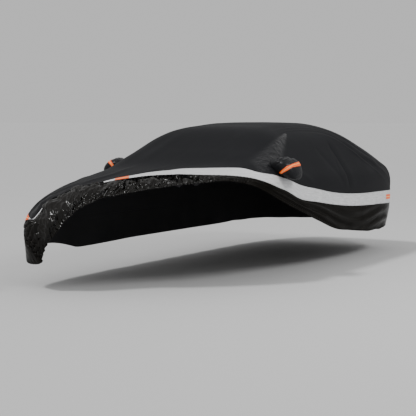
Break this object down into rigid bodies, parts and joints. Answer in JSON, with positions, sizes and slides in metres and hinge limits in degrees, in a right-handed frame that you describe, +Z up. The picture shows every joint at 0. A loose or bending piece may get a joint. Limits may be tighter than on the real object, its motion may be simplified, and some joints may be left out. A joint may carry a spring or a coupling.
{
  "type": "fitted car cover",
  "caption": "Fitted cover for a large saloon car, drawn up off a front corner, with a silver reflective band all round and a pocket over each door mirror.",
  "frame": {"origin": "on the inner face of the cloth in the middle of the roof, where the cover is held", "axes": "+Z up, +Y to the tail, +X to the near side, whose front corner is drawn up"},
  "size_m": [2.1834, 5.0442, 1.2407],
  "materials": {
    "shell_fabric": "matt black coated fabric",
    "skirt_fabric": "glossy black coated fabric",
    "band_reflective": "silver reflective fabric",
    "tape_orange": "orange tape with a silver reflective middle"
  },
  "bodies": {
    "root": {"centre_bonnet": "shell_fabric", "centre_windscreen": "shell_fabric", "centre_roof": "shell_fabric", "centre_rear_window": "shell_fabric", "centre_boot": "shell_fabric", "side_panel_near": "shell_fabric", "side_panel_far": "shell_fabric", "mirror_pocket_near": "shell_fabric", "mirror_pocket_far": "shell_fabric", "mirror_tape_near": "tape_orange", "mirror_tape_far": "tape_orange", "band_near": "band_reflective", "band_far": "band_reflective", "band_rear": "band_reflective", "band_tape_near_rear": "tape_orange", "band_tape_far_rear": "tape_orange", "band_tape_far_front": "tape_orange", "band_tape_near_front": "tape_orange", "skirt_near": "skirt_fabric", "skirt_front": "skirt_fabric", "skirt_far": "skirt_fabric", "skirt_rear": "skirt_fabric"}
  },
  "joints": []
}
